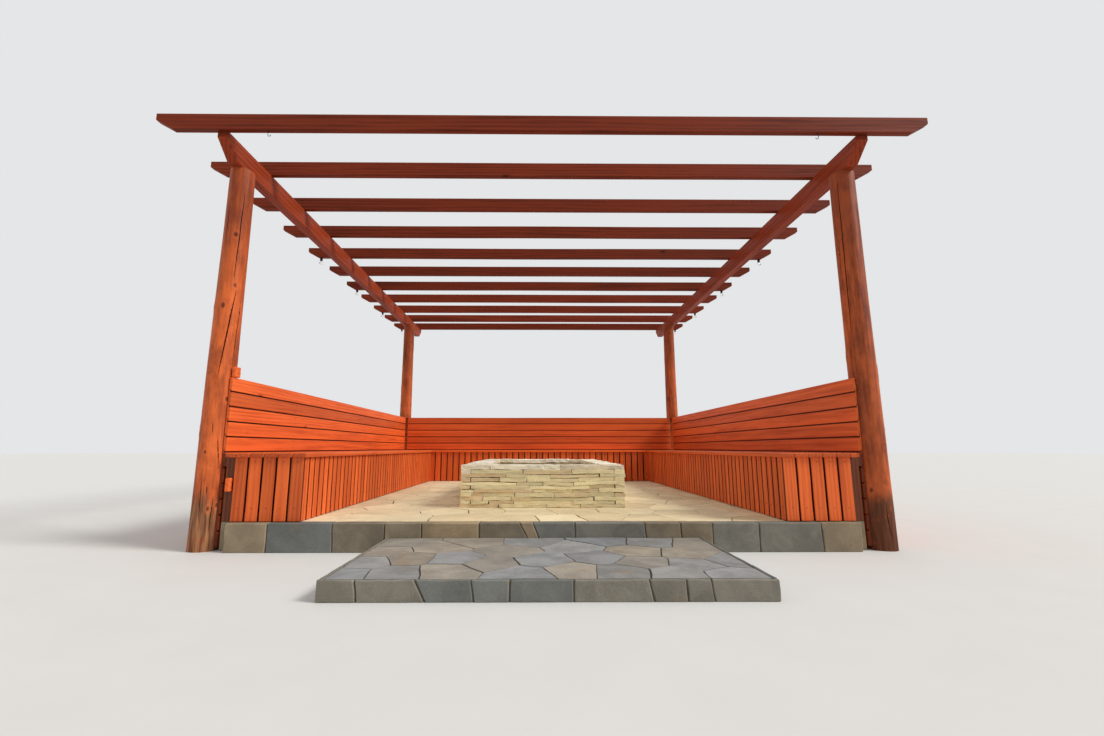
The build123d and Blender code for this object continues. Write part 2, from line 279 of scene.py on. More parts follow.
def stained_log(name, light, dark):
    """Peeled log: stain worn in patches, fine streaks, knots, drying checks and the top in painted shade, and
    a bare or dark foot.
    """
    wood = Shader(name)
    streaks = wood.noise(along("Z", 3.0, 46), 5.0, 0.62, 0.3)
    pores = wood.noise(along("Z", 16, 330), 2.0, 0.6)
    drift = wood.noise(along("Z", 1.4, 6), 4.0, 0.6)
    tint = wood.mix(wood.span(wood.weigh((streaks, 0.4), (drift, 0.6)), 0.3, 0.6), dark, light)
    tint = wood.mix(wood.span(pores, 0.56, 0.74, 0.0, 0.22), tint, dark)
    patch = wood.noise(along("Z", 2.6, 5), 4.0, 0.62)
    tint = wood.mix(wood.span(patch, 0.54, 0.66, 0.0, 0.45), tint, shade(dark, 0.8))
    flake = wood.noise(along("Z", 9, 17), 4.0, 0.66)
    tint = wood.brighten(tint, wood.span(flake, 0.36, 0.64, 0.86, 1.1))

    height = wood.add("SeparateXYZ", {0: wood.place(shifted=False)}, "Z")
    ragged = wood.plus(height, wood.times(wood.noise(along("Z", 3, 9), 4.0), 0.4))
    # Painted shade: the log darkens towards its top
    tint = wood.mix(wood.span(ragged, 1.9, 2.7, 0.0, 0.5), tint, dark)
    foot = wood.span(ragged, 0.62, 0.46)
    # The foot is bare wood, or dark brown where the hue is low
    bare = wood.mix(wood.span(streaks, 0.35, 0.62), stain(88, 60, 42), stain(160, 118, 82))
    bare = wood.mix(wood.attribute("hue"), stain(58, 36, 27), bare)
    tint = wood.mix(wood.times(foot, wood.span(flake, 0.3, 0.5, 0.45, 0.85)), tint, bare)
    knot = wood.attribute("knot")
    tint = wood.mix(wood.span(knot, 0.02, 0.3, 0.0, 0.35), tint, light)
    tint = wood.mix(wood.span(knot, 0.35, 0.9, 0.0, 0.85), tint, shade(dark, 0.35))
    # The drying checks are painted nearly black, as the shade inside them
    tint = wood.mix(wood.span(wood.attribute("check"), 0.12, 0.5, 0.0, 0.96), tint, stain(26, 13, 9))
    tint = wood.lift(tint, "tone", 0.08)
    tint = wood.mix(wood.times(wood.attribute("end_grain_and_shade"), 0.5), tint, dark)
    wood.finish(
        base_color=tint, specular_ior_level=0.25,
        roughness=wood.plus(wood.span(streaks, 0.3, 0.7, 0.6, 0.46), wood.times(foot, 0.2)),
        normal=wood.bump(wood.weigh((streaks, 0.8), (pores, 0.2)), 0.0007, 0.7),
    )


def stone(name, main, second, layered=False, depth=0.003, spread=0.14, pale=(1, 1, 1), hearth=None):
    """Natural stone: two colours shared between stones, mottling, fine speckle, light edges and a split face.

    A hearth is the middle and the half sizes of the ground where fires have left soot.
    """
    rock = Shader(name)
    mottle = rock.noise((7, 7, 60 if layered else 7), 6.0, 0.62, 0.4)
    speckle = rock.noise(160, 2.0, 0.6)
    cloud = rock.noise(2.2)
    tint = rock.mix(rock.attribute("hue"), main, second)
    tint = rock.mix(rock.attribute("check"), tint, pale)
    mottling = rock.weigh((mottle, 0.6), (cloud, 0.4))
    tint = rock.brighten(tint, rock.span(mottling, 0.38, 0.62, 1 - spread * 1.4, 1 + spread))
    tint = rock.brighten(tint, rock.span(speckle, 0.36, 0.62, 0.9, 1.05))
    rust = rock.noise(5, 4.0, 0.65)
    tint = rock.mix(rock.span(rust, 0.6, 0.72, 0.0, spread * 2), tint, stain(150, 118, 78))
    tint = rock.lift(tint, "tone", spread)
    tint = rock.lift(tint, "arris", 0.14)
    if hearth:
        middle, reach = hearth
        away = rock.vector("SUBTRACT", rock.place(shifted=False), middle)
        away = rock.vector("MULTIPLY", away, [1 / size for size in reach])
        away = rock.plus(rock.vector("LENGTH", away, output=1), rock.times(rust, 0.7))
        tint = rock.mix(rock.span(away, 1.35, 0.6, 0.0, 0.85), tint, stain(52, 47, 42))
    fine = rock.bump(speckle, 0.0006, 0.6)
    if layered:
        chips = rock.span(rock.noise((24, 24, 40), 3.0), 0.53, 0.6)
        tint = rock.mix(rock.times(rock.times(rock.attribute("arris"), chips), 0.75), tint, pale)
        fine = rock.bump(rock.noise((26, 26, 150), 4.0, 0.7), 0.003, 0.7, Normal=fine)
    rock.finish(
        base_color=tint, specular_ior_level=0.3, roughness=rock.span(mottle, 0.3, 0.7, 0.74, 0.9),
        normal=rock.bump(mottle, depth, 0.8, Normal=fine),
    )


def mortar_mix(name, tint):
    """Sandy joint filling."""
    sand = Shader(name)
    grit = sand.noise(220, 3.0, 0.7, shifted=False)
    body = sand.brighten(tint, sand.span(sand.noise(6, 3.0, shifted=False), 0.35, 0.65, 0.8, 1.2))
    sand.finish(
        base_color=sand.brighten(body, sand.span(grit, 0.35, 0.65, 0.8, 1.15)), roughness=0.92,
        specular_ior_level=0.2, normal=sand.bump(grit, 0.001, 0.8),
    )


def dark_iron(name, tint, rust_share):
    """Blackened steel with a little rust."""
    iron = Shader(name)
    cloud = iron.noise(60, 4.0, 0.6, shifted=False)
    rusty = iron.mix(iron.span(cloud, 0.5, 0.7, 0.0, rust_share), tint, stain(110, 62, 38))
    iron.finish(
        base_color=rusty, metallic=0.7, roughness=iron.span(cloud, 0.3, 0.7, 0.4, 0.65),
        normal=iron.bump(cloud, 0.0004, 0.5),
    )


def clear_glass(name):
    """Thin blown glass with a faint waviness."""
    glass = Shader(name)
    wave = glass.noise(40, 1.0, shifted=False)
    glass.finish(
        base_color=(0.95, 0.96, 0.96, 1), roughness=0.03, transmission_weight=1.0, ior=1.45,
        normal=glass.bump(wave, 0.0006, 0.3),
    )


def add_layers(form):
    """The attributes that the finishes read."""
    for name in ("tone", "hue", "check", "knot"):
        form.verts.layers.float.new(name)
    form.verts.layers.float_vector.new("shift")
    for name in ("arris", "end_grain_and_shade"):
        form.faces.layers.float.new(name)
    return form


def cad_copy(node):
    """A node's solids as a clean mesh: merged corners and whole flat faces."""
    form = bmesh.new()
    form.from_mesh(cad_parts[node].data)
    bmesh.ops.remove_doubles(form, verts=form.verts, dist=0.00002)
    bmesh.ops.dissolve_limit(form, angle_limit=math.radians(1), verts=form.verts, edges=form.edges)
    return form


def islands(form):
    """The separate solids of a mesh, each as a list of its vertices."""
    form.verts.index_update()
    seen = set()
    groups = []
    for start in form.verts:
        if start.index in seen:
            continue
        seen.add(start.index)
        group = [start]
        for corner in group:
            for edge in corner.link_edges:
                other = edge.other_vert(corner)
                if other.index not in seen:
                    seen.add(other.index)
                    group.append(other)
        groups.append(group)
    return groups


def middle_of(group):
    return sum((corner.co for corner in group), Vector()) / len(group)


def only(kind, items):
    """The items that are of one kind of mesh element."""
    return [item for item in items if isinstance(item, kind)]


def set_shares(form, corners, **shares):
    """Set attributes of the corners given."""
    for name, share in shares.items():
        layer = form.verts.layers.float[name]
        for corner in corners:
            corner[layer] = share


def tint_islands(form, dice, warm_share=0.5, warmth=1.0):
    """Give each board or stone its own tone, share of the second colour and place in the pattern."""
    shift = form.verts.layers.float_vector["shift"]
    for group in islands(form):
        tone = dice.uniform(-1, 1)
        hue = dice.uniform(0.6, 1) if dice.random() < warm_share else dice.uniform(0, 0.3)
        set_shares(form, group, tone=tone, hue=hue * warmth)
        slide = Vector([dice.uniform(-9, 9) for _ in range(3)])
        for corner in group:
            corner[shift] = slide


def ease_edges(form, width, segments=2, edges=None):
    """Bevel every edge, or those given, and remember the new faces as arrises."""
    made = bmesh.ops.bevel(
        form, geom=list(edges or form.edges), offset=width, offset_type="OFFSET", segments=segments,
        profile=0.5, affect="EDGES", material=-1, clamp_overlap=True,
    )
    arris = form.faces.layers.float["arris"]
    for face in made["faces"]:
        face[arris] = 1.0


def cut(form, place, normal):
    """Cut through the whole mesh with a plane."""
    whole = form.verts[:] + form.edges[:] + form.faces[:]
    bmesh.ops.bisect_plane(form, geom=whole, dist=1e-6, plane_co=place, plane_no=normal)


def cut_along(form, axes, step):
    """Cut the whole mesh into lengths along each axis, so that it can bend."""
    for axis in axes:
        across = AXES[axis]
        places = [corner.co.dot(across) for corner in form.verts]
        low, high = min(places), max(places)
        count = max(1, round((high - low) / step))
        for index in range(1, count):
            cut(form, across * (low + (high - low) * index / count), across)


def add_piece(name, form, material, node=None, smooth=None):
    """Turn a mesh under construction into a finished piece of the pergola, for a CAD node or beside it."""
    bmesh.ops.recalc_face_normals(form, faces=form.faces)
    mesh = bpy.data.meshes.new(name)
    if smooth is not None:
        for face in form.faces:
            face.smooth = True
        for edge in form.edges:
            edge.smooth = edge.calc_face_angle(0) < smooth
    form.to_mesh(mesh)
    form.free()
    mesh.materials.append(bpy.data.materials[material])
    piece = bpy.data.objects.new(name, mesh)
    bpy.context.scene.collection.objects.link(piece)
    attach(piece, "root")
    if node:
        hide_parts(node)


# How far behind the face of a boarded wall its seams end, and from where the seams of its outside get painted
# shade
SEAM_END = 0.0175
OUTER_SEAM = 0.0196
# Shares of end grain and painted shade: on ends that are stained or bare, painted shade on ends and shaded
# faces inside the bench and in outer seams, and painted shadow in gaps
STAINED_END, BARE_END, SHADED_END, SHADED, GAP_SHADE = 0.5, 1.0, 1.5, 1.3, 1.6


def dress_timber(
    node, grain, finish, seed, step=0.3, arris=None, bow=None, front=None, gap_start=1.3, trim=0.0,
    dark_below=0.0, run_on=0.0,
):
    """Replace a node of sawn boards by eased, slightly bowed ones, each with its own tone.

    A front is the direction that a wall of boards faces: what lies back from it, in the gaps, is darkened as
    painted shadow.
    A trim is what each side of an upright slat gives up to the gap beside it. Inside the bench, below
    dark_below, the boards are bare and darkened with painted shade, and so are the seams on their outside.
    The rear ends are drawn out by run_on.
    """
    timber = bpy.context.scene.pergola_timber
    ease = timber.arris if arris is None else arris
    reach = timber.bow if bow is None else bow
    dice = random.Random(seed)
    form = add_layers(cad_copy(node))
    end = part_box(node)[1].y - 0.001
    for corner in form.verts:
        if corner.co.y > end:
            corner.co.y += run_on
    for group in islands(form) if trim else ():
        middle = middle_of(group)
        across = UP.cross(front)
        for corner in group:
            corner.co -= across * math.copysign(trim, (corner.co - middle).dot(across))
    ease_edges(form, ease)
    cut_along(form, grain, step)
    tint_islands(form, dice)

    direction = AXES[grain]
    end_grain_and_shade = form.faces.layers.float["end_grain_and_shade"]
    wall_top = max(corner.co.z for corner in form.verts) - 0.004
    wall_face = max(corner.co.dot(front) for corner in form.verts) if front else 0
    # Mark end grain, and painted shade: on ends and front faces inside the bench, in the gaps behind the face,
    # and in the outer seams
    for face in form.faces:
        face.normal_update()
        middle = face.calc_center_median()
        back = wall_face - middle.dot(front) if front else 0
        frontal = face.normal.dot(front) if front else 0
        if abs(face.normal.dot(direction)) > 0.9:
            face[end_grain_and_shade] = SHADED_END if middle.z < dark_below else STAINED_END if front else BARE_END
        elif middle.z < dark_below and frontal > 0.9:
            face[end_grain_and_shade] = SHADED
        elif ease * gap_start < back < SEAM_END and middle.z < wall_top:
            face[end_grain_and_shade] = GAP_SHADE
        elif dark_below and back > OUTER_SEAM and abs(frontal) < 0.93:
            face[end_grain_and_shade] = SHADED

    for group in islands(form):
        places = [corner.co.dot(direction) for corner in group]
        low, length = min(places), max(max(places) - min(places), 0.001)
        waves = dice.uniform(0.8, 2.4)
        phase = dice.uniform(0, math.tau)
        side = Vector([0 if axis == grain else dice.uniform(-1, 1) for axis in "XYZ"])
        side.z = -abs(side.z)
        for corner, place in zip(group, places):
            share = (place - low) / length
            corner.co += side * reach * math.sin(math.pi * share) * math.sin(phase + waves * math.tau * share)
            corner.co.z = min(corner.co.z, cad_high.z)
    add_piece(node + ".timber", form, finish + "_" + grain, node)


def block(form, low, high, lean_low=0.0, lean_high=0.0, axis=0):
    """A six-sided block between two corners; its two ends may lean along the axis towards their foot."""
    for corner in bmesh.ops.create_cube(form, size=2)["verts"]:
        place = Vector([high[i] if corner.co[i] > 0 else low[i] for i in range(3)])
        if corner.co.z < 0:
            place[axis] += lean_high if corner.co[axis] > 0 else lean_low
        corner.co = place


def roughen(form, size, reach, low, high):
    """Move each corner by smooth noise, so that faces look split, and keep it between two corners."""
    slide = form.verts.layers.float_vector["shift"]
    for corner in form.verts:
        moved = corner.co + noise.noise_vector(corner.co / size + corner[slide]) * reach
        corner.co = [min(max(part, least), most) for part, least, most in zip(moved, low, high)]


def solid_boxes(node):
    """The lowest and highest corner of each solid of a node."""
    form = cad_copy(node)
    boxes = [
        [Vector([pick(corner.co[i] for corner in group) for i in range(3)]) for pick in (min, max)]
        for group in islands(form)
    ]
    form.free()
    return boxes


def middles(node, axis):
    """The middle of each solid of a node along an axis."""
    return sorted((low[axis] + high[axis]) / 2 for low, high in solid_boxes(node))


def pit_box():
    """The lowest and highest corner of the fire pit."""
    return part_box("fire_pit_front")[0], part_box("fire_pit_rear")[1]


# Piece operators


class PERGOLA_OT_finishes(bpy.types.Operator):
    """Mix the stains, stones and metals"""

    bl_idname = "pergola.finishes"
    bl_label = "Finishes"

    def execute(self, context):
        timber = context.scene.pergola_timber
        rocks = context.scene.pergola_stone
        for grain in "XYZ":
            stained_wood("boards_" + grain, grain, timber.board_stain, timber.board_grain, contrast=0.8)
            stained_wood("inner_" + grain, grain, timber.inner_stain, timber.inner_grain, gloss=0.25)
        # The rafter and beam finishes carry painted shade in their darker stains
        stained_wood("roof_X", "X", timber.roof_stain_and_shade, timber.roof_grain_and_shade, gloss=0.12)
        stained_wood("roof_Y", "Y", timber.beam_stain_and_shade, timber.beam_grain_and_shade, gloss=0.12)
        stained_log("peeled_log", timber.log_stain, timber.log_grain)
        stained_wood("stub", "Y", timber.board_stain, timber.board_grain)
        low, high = pit_box()
        middle = (low + high) / 2
        hearth = (middle, [high.x - middle.x - 0.2, high.y - middle.y - 0.2, 9.0])
        stone("floor_stone", rocks.floor_stone, rocks.floor_second, spread=0.07, hearth=hearth)
        stone("shaded_step_stone", rocks.shaded_step_stone, rocks.step_second, depth=0.005, spread=0.15)
        stone("shaded_riser_stone", rocks.shaded_riser_stone, rocks.riser_second, depth=0.004)
        stone("split_stone", rocks.pit_stone, rocks.pit_second, True, 0.007, 0.11, rocks.coping)
        mortar_mix("mortar", rocks.mortar)
        mortar_mix("pit_core", stain(58, 50, 38))
        dark_iron("screw_steel", stain(84, 52, 38), 0.6)
        dark_iron("hook_iron", stain(36, 34, 33), 0.35)
        dark_iron("lamp_socket", stain(26, 25, 25), 0.0)
        clear_glass("lamp_glass")
        return {"FINISHED"}


class PERGOLA_OT_log_posts(bpy.types.Operator):
    """Build the four peeled log posts with their knots and drying checks"""

    bl_idname = "pergola.log_posts"
    bl_label = "Log posts"

    columns = 108
    rows = 180
    # Height at which the foot has narrowed to the trunk
    waist = 0.95

    # Checks of the front left post: angle in degrees at the low end, low, high, turn in degrees, depth
    LEFT_CHECKS = (
        (-76, 1.16, 1.85, 42, 0.013), (-20, 1.26, 1.86, 16, 0.009), (-72, 0.79, 0.86, 0, 0.008),
        (-35, 0.57, 0.76, -15, 0.009), (-69, 0.38, 0.43, 0, 0.008), (-50, 1.9, 2.6, 10, 0.009),
    )
    # Knots of the front left post: height, angle in degrees, radius
    LEFT_KNOTS = (
        (1.03, -29, 0.016), (1.70, -81, 0.018), (1.66, -10, 0.014), (1.86, -43, 0.016), (2.25, -60, 0.018),
        (0.66, -88, 0.012), (0.3, -30, 0.013),
    )
    # Of each post: the wall that bears on it, seed, how bare rather than dark its foot is, tone, known checks
    # and knots
    POSTS = {
        "front_left": ("left", 3, 1.0, 0.6, LEFT_CHECKS, LEFT_KNOTS),
        # Its low tone is partly a darker stain, partly painted shade
        "front_right": ("right", 8, 0.15, -2.2, (), ()),
        "rear_left": ("rear", 12, 0.4, -1.0, (), ()),
        "rear_right": ("rear", 21, 0.4, -1.6, (), ()),
    }

    def column(self, angle):
        """The number of the column of corners nearest to an angle."""
        return round(angle / math.tau * self.columns) % self.columns

    def grooves(self, dice, height, known):
        """Drying checks as (angle, low, high, drift, depth): the known, a few long and many short ones."""
        made = [
            (math.radians(at), low, high, math.radians(turn), depth) for at, low, high, turn, depth in known
        ]
        for count, lows, lengths, drift, depth in (
            (0 if known else 4, (0.15, height * 0.55), (0.7, 1.5), 0.12, 0.011),
            (8 if known else 14, (0.05, height - 0.4), (0.12, 0.4), 0.2, 0.006),
        ):
            for _ in range(count):
                low = dice.uniform(*lows)
                start = dice.uniform(0, math.tau)
                made.append((start, low, low + dice.uniform(*lengths), dice.uniform(-drift, drift), depth))
        return [groove for groove in made if groove[2] < height - 0.03]

    def peel(self, form, foot, height, knots, seed):
        """Shape a plain cone into a peeled log; gives back its corners by height and column."""
        belly, top = foot - 0.006, foot - 0.015
        own = Vector((seed * 3.7, seed * 1.3, 0))
        knot = form.verts.layers.float["knot"]
        rings = {}
        for corner in form.verts:
            z = corner.co.z
            angle = math.atan2(corner.co.y, corner.co.x) % math.tau
            rings.setdefault(round(z, 4), {})[self.column(angle)] = corner
            if z < self.waist:
                taper = foot + (belly - foot) * z / self.waist
            else:
                taper = belly + (top - belly) * (z - self.waist) / (height - self.waist)
            around = Vector((math.cos(angle), math.sin(angle), 0))
            swell = 0.003 * noise.noise(around * 0.9 + UP * z * 0.9 + own) - 0.0025
            dents = 0.0016 * noise.noise(around * 5 + UP * z * 1.1 + own)
            ragged = 1 + 0.5 * noise.noise(Vector((angle * 5, z * 30, seed)))
            lump = 0.0
            for knot_z, knot_angle, size in knots:
                sweep = (angle - knot_angle + math.pi) % math.tau - math.pi
                reach = math.hypot(sweep * taper, (z - knot_z) * 0.65) * ragged / size
                mound, pit, mark = (math.exp(-((reach / width) ** 2)) for width in (2, 0.7, 1))
                lump += 0.0045 * mound - 0.004 * pit
                corner[knot] = max(corner[knot], mark)
            radius = min(taper + swell + dents + lump, taper + 0.0015)
            sway = Vector((noise.noise(UP * z * 0.5 + own), noise.noise(UP * z * 0.5 - own), 0)) * 0.004
            corner.co = around * radius + UP * z + sway * math.sin(math.pi * z / height)
        return rings

    def carve(self, form, rings, groove, foot, height):
        """Cut one drying check: a column of corners is drawn in, and its neighbours close up to it; the
        drawn-in corners are marked for near-black painted shade.
        """
        start, low, high, drift, depth = groove
        check = form.verts.layers.float["check"]
        for z, ring in rings.items():
            if not low < z < high or z > height - 0.01:
                continue
            share = (z - low) / (high - low)
            fade = math.sin(math.pi * share) ** 0.5
            angle = start + drift * share + 0.03 * noise.noise(Vector((0, start * 9, z * 7)))
            width = (0.001 + depth * 0.35 * fade) / foot
            for offset in (-1, 0, 1):
                corner = ring.get((self.column(angle) + offset) % self.columns)
                if corner is None:
                    continue
                radius = corner.co.to_2d().length
                if offset == 0:
                    radius -= depth * fade
                    corner[check] = max(corner[check], fade)
                side = angle + offset * width
                corner.co = Vector((math.cos(side) * radius, math.sin(side) * radius, corner.co.z))

    def build(self, node, wall, seed, worn, tone, checks, marks):
        dice = random.Random(seed)
        low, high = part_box(node)
        foot = max(high.x - low.x, high.y - low.y) / 2
        height = high.z
        normal = FACING[wall]
        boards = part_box("backrest_" + wall)
        flat_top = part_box("backrest_left")[1].z
        centre = Vector((0, 0, 0))
        for i in range(2):
            middle = (low[i] + high[i]) / 2
            centre[i] = middle if not normal[i] else low[i] + foot if normal[i] > 0 else high[i] - foot

        form = add_layers(bmesh.new())
        bmesh.ops.create_cone(
            form, cap_ends=True, segments=self.columns, radius1=foot, radius2=foot - 0.015, depth=height,
            matrix=Matrix.Translation((0, 0, height / 2)),
        )
        upright = [edge for edge in form.edges if abs(edge.verts[0].co.z - edge.verts[1].co.z) > height / 2]
        bmesh.ops.subdivide_edges(form, edges=upright, cuts=self.rows, use_grid_fill=True)
        for level in (flat_top, flat_top + 0.001):
            cut(form, UP * level, UP)
        knots = [
            (dice.uniform(0.25, height - 0.15), dice.uniform(0, math.tau), dice.uniform(0.012, 0.02))
            for _ in range(3 if marks else 9)
        ]
        knots += [(level, math.radians(turn) % math.tau, size) for level, turn, size in marks]
        rings = self.peel(form, foot, height, knots, seed)
        for groove in self.grooves(dice, height, checks):
            self.carve(form, rings, groove, foot, height)

        # The flat that is let in where the boards bear
        place = min(corner.dot(normal) for corner in boards) - centre.dot(normal)
        flat_start = -math.inf if wall == "rear" else boards[0].y
        for corner in form.verts:
            proud = corner.co.dot(normal) - place
            if proud > 0 and corner.co.z < flat_top + 0.0005 and corner.co.y + centre.y >= flat_start:
                corner.co -= normal * (proud + 0.0004)
        end_grain_and_shade = form.faces.layers.float["end_grain_and_shade"]
        for face in form.faces:
            if len(face.verts) > 8:
                face[end_grain_and_shade] = BARE_END
        tint_islands(form, dice)
        set_shares(form, form.verts, hue=worn, tone=tone)
        bmesh.ops.translate(form, verts=form.verts, vec=centre)
        add_piece(node + ".log", form, "peeled_log", node, SHARP)

    def execute(self, context):
        for word, facts in self.POSTS.items():
            self.build("post_" + word, *facts)
        return {"FINISHED"}


class PERGOLA_OT_roof(bpy.types.Operator):
    """Dress the two beams and the eleven rafters"""

    bl_idname = "pergola.roof"
    bl_label = "Beams and rafters"

    def execute(self, context):
        dress_timber("beam_left", "Y", "roof", 40, arris=0.004)
        dress_timber("beam_right", "Y", "roof", 41, arris=0.004)
        for row in range(1, 12):
            dress_timber(f"rafter_{row:02d}", "X", "roof", 60 + row, arris=0.0035, bow=0.002)
        return {"FINISHED"}


class PERGOLA_OT_backrests(bpy.types.Operator):
    """Dress the backrest boards and the stakes behind them"""

    bl_idname = "pergola.backrests"
    bl_label = "Backrests"

    # How far the side boards run on to butt against the rear posts
    run_on = 0.042

    def execute(self, context):
        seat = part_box("seat_left")[0].z
        for index, (side, front) in enumerate(FACING.items()):
            dress_timber(
                "backrest_" + side, ALONG[side], "boards", 100 + index, front=front, dark_below=seat,
                run_on=0.0 if side == "rear" else self.run_on,
            )
        for index, side in enumerate(FACING):
            dress_timber("stakes_" + side, "Z", "inner", 110 + index, arris=0.003)
        return {"FINISHED"}


class PERGOLA_OT_seats(bpy.types.Operator):
    """Dress the seat boards"""

    bl_idname = "pergola.seats"
    bl_label = "Seats"

    def execute(self, context):
        for index, (side, grain) in enumerate(ALONG.items()):
            dress_timber("seat_" + side, grain, "boards", 120 + index, arris=0.004, bow=0.0008)
        return {"FINISHED"}


class PERGOLA_OT_cladding(bpy.types.Operator):
    """Dress the upright slats and the end boards of the bench"""

    bl_idname = "pergola.cladding"
    bl_label = "Bench fronts"

    def execute(self, context):
        for index, (side, front) in enumerate(FACING.items()):
            dress_timber(
                "cladding_" + side, "Z", "boards", 130 + index, step=0.15, arris=0.002, front=front,
                gap_start=0.4, trim=0.0015,
            )
        dress_timber("bench_ends", "Z", "boards", 134, step=0.15, front=FACING["rear"])
        return {"FINISHED"}


class PERGOLA_OT_frames(bpy.types.Operator):
    """Dress the trestles and rails inside the bench"""

    bl_idname = "pergola.frames"
    bl_label = "Bench frames"

    def execute(self, context):
        for index, (side, grain) in enumerate(ALONG.items()):
            dress_timber("rails_" + side, grain, "inner", 140 + index, step=0.4)
            dress_timber("trestles_" + side, "Z", "inner", 150 + index, bow=0.0)
        return {"FINISHED"}


def jittered_sites(dice, low, high, pitch):
    """One point in each cell of a staggered grid, well off its middle."""
    columns = max(1, round((high[0] - low[0]) / pitch))
    rows = max(1, round((high[1] - low[1]) / (pitch * 0.9)))
    sites = []
    for row in range(rows):
        for column in range(columns):
            x = (column + 0.5 + (0.25 if row % 2 else -0.25) + dice.uniform(-0.36, 0.36)) / columns
            y = (row + 0.5 + dice.uniform(-0.36, 0.36)) / rows
            sites.append((low[0] + (high[0] - low[0]) * x, low[1] + (high[1] - low[1]) * y))
    return sites


def flagstone(form, point, neighbours, low, high, top, joint):
    """The face of one irregular slab: a rectangle cut off half a joint short of half way to its neighbours."""
    outline = ((low[0], low[1]), (high[0], low[1]), (high[0], high[1]), (low[0], high[1]))
    corners = [form.verts.new((x, y, top)) for x, y in outline]
    face = form.faces.new(corners)
    own = corners + face.edges[:] + [face]
    for other in neighbours:
        away = (other - point).normalized()
        middle = (other + point) / 2
        half_way = middle - away * joint * (0.55 + 0.5 * noise.noise(middle * 5))
        own = bmesh.ops.bisect_plane(
            form, geom=own, dist=1e-6, plane_co=half_way, plane_no=away, clear_outer=True
        )["geom"]
    return only(bmesh.types.BMFace, own)


def crazy_paving(form, low, high, sites, top, depth, joint, dice):
    """Flagstones with chipped outlines that fill a rectangle, one round each site."""
    points = [Vector((x, y, 0)) for x, y in sites]
    faces = []
    for point in points:
        others = [other for other in points if other is not point]
        near = sorted(others, key=lambda other: (other - point).length)
        faces += flagstone(form, point, near[:14], low, high, top, joint)
    for face in faces:
        for edge in list(face.edges):
            pieces = max(1, round(edge.calc_length() / 0.04))
            for left in range(pieces, 1, -1):
                edge, _ = bmesh.utils.edge_split(edge, edge.verts[0], 1 - 1 / left)
    for corner in form.verts:
        spot = Vector((corner.co.x, corner.co.y, 0))
        chip = noise.noise_vector(spot / 0.09) * 0.007 + noise.noise_vector(spot / 0.027) * 0.003
        x, y = (min(max(spot[i] + chip[i], low[i]), high[i]) for i in range(2))
        corner.co = (x, y, top)
    lowered = only(bmesh.types.BMVert, bmesh.ops.extrude_face_region(form, geom=faces)["geom"])
    bmesh.ops.translate(form, verts=lowered, vec=(0, 0, -depth))
    bmesh.ops.recalc_face_normals(form, faces=form.faces)
    rim = [edge for edge in form.edges if all(corner.co.z > top - depth / 2 for corner in edge.verts)]
    ease_edges(form, 0.005, edges=rim)
    tint_islands(form, dice, 0.35)
    for group in islands(form):
        middle = middle_of(group)
        drop = dice.uniform(0.0, 0.0025)
        lean = (dice.uniform(-0.004, 0.004), dice.uniform(-0.004, 0.004))
        for corner in group:
            away = corner.co - middle
            corner.co.z = min(corner.co.z - drop + away.x * lean[0] + away.y * lean[1], top)


def upright_stones(form, low, high, joints, axis, joint):
    """A row of stones set on edge; each joint is the place of its top and the lean to its foot."""
    ends = [(low[axis], 0.0), *joints, (high[axis], 0.0)]
    for (start, start_lean), (end, end_lean) in zip(ends, ends[1:]):
        stone_low, stone_high = list(low), list(high)
        stone_low[axis] = start + (joint / 2 if start > low[axis] else 0)
        stone_high[axis] = end - (joint / 2 if end < high[axis] else 0)
        block(form, stone_low, stone_high, start_lean, end_lean, axis)


def random_joints(dice, start, end, shortest, longest):
    """Joint places along a row, with the odd leaning one."""
    joints = []
    place = start + dice.uniform(shortest, longest)
    while place < end - shortest:
        joints.append((place, dice.choice((0, 0, dice.uniform(-0.03, 0.03)))))
        place += dice.uniform(shortest, longest)
    return joints


# Joints of the upright stones at the front of the step and the floor, left to right, with their lean
STEP_JOINTS = (
    (-0.881, 0.012), (-0.609, 0.052), (-0.356, 0.016), (-0.175, -0.004), (0.112, 0.002), (0.456, 0.022),
    (0.625, 0.006), (0.738, 0.014),
)
FLOOR_JOINTS = (
    (-1.85, 0.0), (-1.42, 0.01), (-1.069, 0.0), (-0.823, 0.006), (-0.438, 0.0), (-0.167, 0.1),
    (-0.078, 0.075), (0.203, 0.0), (0.671, 0.02), (0.912, 0.012), (1.129, 0.0), (1.442, 0.0), (1.86, 0.01),
)
# Middles of the flagstones on top of the step
STEP_SITES = (
    (-0.98, -3.39), (-0.95, -3.13), (-0.74, -3.36), (-0.93, -2.85), (-0.74, -3.04), (-0.90, -2.58),
    (-0.50, -3.31), (-0.64, -2.76), (-0.50, -3.04), (-0.43, -2.57), (-0.30, -3.16), (-0.22, -2.84),
    (-0.12, -3.38), (-0.10, -2.56), (-0.02, -3.09), (0.12, -3.30), (0.17, -2.74), (0.28, -3.02),
    (0.38, -2.53), (0.36, -3.33), (0.52, -2.86), (0.50, -3.13), (0.66, -2.58), (0.62, -3.38), (0.80, -2.93),
    (0.77, -3.18), (0.94, -2.66), (0.88, -3.40), (0.98, -3.10),
)


